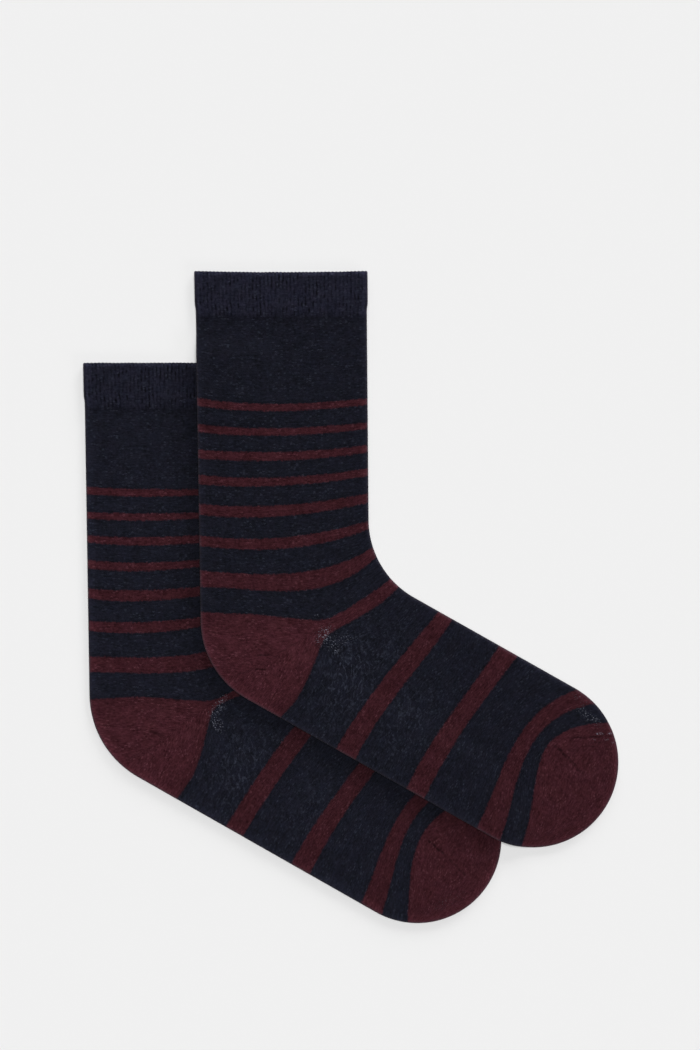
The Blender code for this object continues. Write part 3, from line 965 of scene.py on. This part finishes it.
class Knitting(Nodes):
    """The nodes of one sock's cloth, with what its points carry, and its stitches."""

    def __init__(self, name):
        super().__init__(name)
        self.wale, self.course, side = self.split(self.attribute("stitch", "Vector"))
        self.welt, self.pale, self.rumpled = self.split(self.attribute("zones", "Vector"))
        self.stripe = self.attribute("stripe")
        self.rim = self.attribute("rim")
        self.seed = self.times(side, SIDE_SEED)
        self.spot = self.vector(self.wale, self.course, self.seed)

        # One stitch: two slanting legs that meet in a V at the middle of the wale.
        strays = [self.noise(self.spot, scale) for scale in WANDER_SCALES]
        sway, jog = [self.times(stray, STITCH_WANDER) for stray in strays]
        self.wale_here = self.add(self.wale, sway)
        slant = self.minus(self.times(self.math("FRACT", self.wale_here), 2.0), 1.0)
        self.rise = self.add(self.course, self.times(self.absolute(slant), STITCH_SLANT), jog)
        legs = self.power(self.wave(self.times(self.wale_here, 2.0)), 0.6)
        self.stitch = self.times(self.wave(self.rise), legs)
        self.shade = self.speck(self.wale_here, self.rise, self.seed)

        self.streak = self.ramp(self.pattern("course streaks"), *STREAK_RANGE)
        self.busy = self.ramp(self.pattern("busy"), 0.35, 0.65, 0.4, 1.4)
        self.uneven = self.pattern("uneven")

        # The stripes change at a whole course, so their edges step with the stitches.
        steps = self.times(self.minus(self.math("FRACT", self.wale_here), 0.5), 0.3)
        ragged = self.times(self.minus(self.pattern("ragged"), 0.5), 1.3)
        linked = self.times(self.minus(self.shade, 0.5), 0.5)
        self.burgundy = self.ramp(self.add(self.stripe, steps, ragged, linked), -0.5, 0.5)

    def pattern(self, key):
        wales, courses, seed, *fineness = PATTERNS[key]
        across, down = self.times(self.wale, wales), self.times(self.course, courses)
        return self.noise(self.vector(across, down, self.add(self.seed, seed)), *fineness)

    def specks(self, wales, courses, seed):
        """A random value for each speck, and its round form."""
        x, y = self.times(self.wale_here, wales), self.times(self.rise, courses)
        return self.speck(x, y, self.add(self.seed, seed)), self.dot(x, y)


def marks_of(n, name):
    """How much painted shade the thin lines put at each place."""
    x, y, _ = n.place()
    total = 0.0
    for mark_x, mark_y, angle, length, breadth, strength, *pitch in MARKS[name]:
        away_x, away_y = n.minus(x, mark_x * MM), n.minus(y, mark_y * MM)
        ways = [direction(math.radians(a)) / MM for a in (angle, angle + 90.0)]
        along, across = [n.add(n.times(away_x, w[0]), n.times(away_y, w[1])) for w in ways]
        wander = n.times(n.math("SINE", n.times(along, MARK_WANDER[1])), MARK_WANDER[0])
        line = n.ramp(n.absolute(n.add(across, wander)), 0.25 * breadth, breadth, 1.0, 0.0)
        ends = n.ramp(n.absolute(along), 0.3 * length, 0.5 * length, 1.0, 0.0)
        line = n.times(line, ends, strength)
        if pitch:
            holes = n.wave(n.times(along, 1.0 / pitch[0]))
            line = n.times(line, n.add(0.2, n.times(holes, 0.8)))
        total = n.math("MAXIMUM", total, line)
    return total


def mottle_of(n):
    """How light the yarn is: streaks, clouds, dashes, and a shade for each stitch."""
    down_wales = n.add(WALE_STREAKS[0], n.times(n.welt, WALE_STREAKS[1]))
    return n.add(
        n.times(n.ramp(n.pattern("wale streaks"), *STREAK_RANGE), down_wales),
        n.times(n.streak, n.minus(STREAKS, down_wales)),
        n.times(n.ramp(n.pattern("clouds"), 0.32, 0.68), CLOUDS),
        n.times(n.ramp(n.pattern("dashes"), 0.3, 0.7), DASHES),
        n.times(n.shade, STITCHES),
    )


def yarns_of(n, name):
    """The colour of the two yarns in their stripes."""
    mottle = mottle_of(n)
    # Light flecks, short dashes along the courses: a few to each hundred stitches, more in some
    # places than in others, and most of them faint.
    chance, form = n.specks(*FLECKS)
    faint = n.add(FLECK_LIGHT[0], n.times(n.welt, FLECK_LIGHT[1]))
    fleck = n.times(n.ramp(chance, 0.78, 1.04), form, n.busy, faint)
    navy = n.scaled(n.mix(mottle, NAVY_DARK, NAVY_LIGHT), NAVY_TONES[name])
    ribbed = n.times(n.welt, WELT_SHARE[name])
    navy = n.mix(ribbed, navy, n.mix(mottle, WELT_DARK, WELT_LIGHT))
    navy = n.mix(fleck, navy, NAVY_FLECK_AND_RIDGE_HIGHLIGHT)
    burgundy = n.mix(fleck, n.mix(mottle, BURGUNDY_DARK, BURGUNDY_LIGHT), BURGUNDY_FLECK)
    # Beside a change of yarn the stitches pull in, and the cloth is a little darker.
    from_change = n.absolute(n.stripe)
    navy = n.scaled(navy, n.ramp(from_change, 0.3, 2.6, 0.86, 1.0))
    pulled_in = n.ramp(from_change, 0.2, 1.6, 0.94, 1.0)
    burgundy = n.scaled(burgundy, n.times(n.attribute("tone"), pulled_in))
    colour = n.mix(n.burgundy, navy, burgundy)

    # The dye of the heathered yarn wanders between warmer and cooler, in the navy more.
    warmth = n.ramp(n.burgundy, 0.0, 1.0, *RED_CHANGE)
    red = n.add(1.0, n.times(n.ramp(n.pattern("warm"), *DYE_RANGE, -1.0, 1.0), warmth))
    return n.tinted(colour, red, 1.0, n.ramp(n.pattern("cool"), *DYE_RANGE, *BLUE_RANGE))


def welt_on(n, colour):
    """Adds painted shade in the welt's grooves, and a faint line of it at the welt's end."""
    groove = n.power(n.wave(n.times(n.wale, 1.0 / RIB)), 2.0)
    depth = n.times(n.ramp(n.uneven, 0.38, 0.66, *GROOVE_SHADE), n.ramp(n.busy, 0.4, 1.4, 0.5, 1.0))
    colour = n.darkened(colour, n.times(groove, n.welt, depth))
    hem = n.ramp(n.absolute(n.minus(n.welt, 0.25)), 0.0, 0.25, HEM_SHADE, 0.0)
    return n.darkened(colour, hem)


def ridges_of(n):
    """Fine wavy ridges that run down the cloth where it is rumpled."""
    x, y, _ = n.place()
    ridges = n.vector(n.times(x, RIDGES[0] / MM), n.times(y, RIDGES[1] / MM), n.seed)
    from_ridge = n.absolute(n.minus(n.noise(ridges, 1.0, 1.0, 0.4), 0.5))
    ridge = n.ramp(from_ridge, 0.0, 0.075, 1.0, 0.0)
    return n.times(ridge, n.rumpled, n.ramp(n.uneven, 0.36, 0.6, 0.15, 1.0))


def edges_on(n, name, colour):
    """Adds fluff and painted sheen by the folds, and painted highlight on the cuff's lip."""
    lift, reach = RIM_FLUFF_AND_SHEEN[name]
    ragged_rim = n.add(n.rim, n.times(n.shade, 0.3))
    # Painted sheen lightens the cloth towards each fold, and at the fold itself fluff and painted
    # sheen.
    near = n.ramp(ragged_rim, 0.2, reach, lift, 0.0)
    fold = n.power(n.ramp(ragged_rim, 0.2, 2.2, 1.0, 0.0), 2.0)
    fluff_and_sheen = n.times(fold, n.ramp(n.burgundy, 0.0, 1.0, *FLUFF_AND_SHEEN_SHARES))
    colour = n.mix(fluff_and_sheen, n.scaled(colour, n.add(1.0, near)), FLUFF_AND_SHEEN)
    # Painted highlight along the cuff's rolled edge.
    return n.scaled(colour, n.ramp(n.course, *LIP_REACH, LIP_HIGHLIGHT, 1.0))


def knit_material(slot, name):
    """Fine plain knitting in two mottled yarns, with the stitches, stripes and pale fibres."""
    n = Knitting(slot)
    colour = welt_on(n, yarns_of(n, name))
    ridge = ridges_of(n)
    # Painted highlight along the rumpled ridges on the navy.
    light = n.times(n.minus(1.0, n.burgundy), n.ramp(n.shade, 0.1, 0.9, *RIDGE_HIGHLIGHT))
    colour = n.mix(n.times(ridge, light), colour, NAVY_FLECK_AND_RIDGE_HIGHLIGHT)
    # The pale splicing yarn shows through in specks.
    chance, form = n.specks(*SPECKS)
    speck = n.ramp(n.add(chance, n.times(n.pale, 0.36)), 1.01, 1.4)
    colour = n.mix(n.times(speck, form, SPECK_LIGHT), colour, PALE_YARN)
    colour = edges_on(n, name, colour)

    # The thin lines' painted shade, which also sinks the bump.
    marks = marks_of(n, name)
    # Painted shade on the lower sock beside the upper one.
    lit = n.minus(1.0, n.attribute("shaded"))
    # Painted shade between the stitches' legs.
    relief = n.add(STITCH_SHADE[0], n.times(n.stitch, STITCH_SHADE[1]))
    colour = n.scaled(colour, n.times(relief, n.minus(1.0, marks), lit))

    fuzz = n.noise(n.spot, 3.0, 3.0, 0.7)
    height = n.add(
        n.stitch,
        n.times(fuzz, FUZZ_BUMP),
        n.times(ridge, RIDGE_BUMP),
        n.times(n.streak, STREAK_BUMP),
        n.times(marks, MARK_BUMP),
    )
    height = n.times(height, n.ramp(n.rim, 0.0, 4.0, 0.35, 1.0))
    bump = n.make("Bump")
    for key, value in {**BUMP, "Height": height}.items():
        n.put(bump.inputs[key], value)
    n.surface({"Base Color": colour, "Normal": bump.outputs["Normal"], **CLOTH_SURFACE})
    return n.material


def sheet_size(name):
    """The cut of a sock's tube in metres: all round its leg, the mean length of its two edges, and
    its area, which is that of its outline on both sides."""
    back, front, _ = edges_of(name)
    girth = 2.0 * profile_of(name)["cuff_width"] * MM
    length = (back.length + front.length) / 2.0 * MM
    x, y = outline_of(name).T * MM
    side = abs(np.dot(x, np.roll(y, -1)) - np.dot(y, np.roll(x, -1))) / 2.0
    return girth, length, float(2.0 * side)


def make_floor():
    bpy.ops.mesh.primitive_plane_add(size=FLOOR_SIZE * MM)
    floor = bpy.context.object
    floor.name = "floor"
    floor.location.z = -FLOOR_GAP * MM
    n = Nodes("floor_paper")
    n.surface(FLOOR_SURFACE)
    floor.data.materials.append(n.material)


def make_lights():
    for name, strength, spread, elevation, azimuth in LAMPS:
        lamp = bpy.data.lights.new(name, "SUN")
        lamp.energy = strength
        lamp.angle = math.radians(spread)
        sun = add_object(name, lamp)
        flat = direction(math.radians(azimuth)) * math.cos(math.radians(elevation))
        towards = Vector((*flat, math.sin(math.radians(elevation))))
        sun.rotation_mode = "QUATERNION"
        sun.rotation_quaternion = towards.to_track_quat("Z", "Y")
    world = bpy.data.worlds.new("studio")
    bpy.context.scene.world = world
    world.use_nodes = True
    backdrop = world.node_tree.nodes["Background"]
    backdrop.inputs["Color"].default_value = (1.0, 1.0, 1.0, 1.0)
    backdrop.inputs["Strength"].default_value = WORLD_LIGHT


def make_camera():
    camera = bpy.data.cameras.new("camera")
    camera.sensor_width = SENSOR
    camera.lens = SENSOR * CAMERA_HEIGHT / VIEW_LONG
    camera.clip_end = 100.0
    stand = add_object("camera", camera)
    stand.location = (*[c * MM for c in VIEW_MIDDLE], CAMERA_HEIGHT * MM)
    bpy.context.scene.camera = stand


def main():
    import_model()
    bpy.context.scene.view_settings.view_transform = "Standard"
    for name, slot, rests_on in (
        ("lower_sock", "lower_knit", []),
        ("upper_sock", "upper_knit", ["lower_sock"]),
    ):
        sock = make_sock(name, knit_material(slot, name))
        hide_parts(name)
        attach(sock, "root")
        girth, length, area = sheet_size(name)
    make_floor()
    make_lights()
    make_camera()


main()
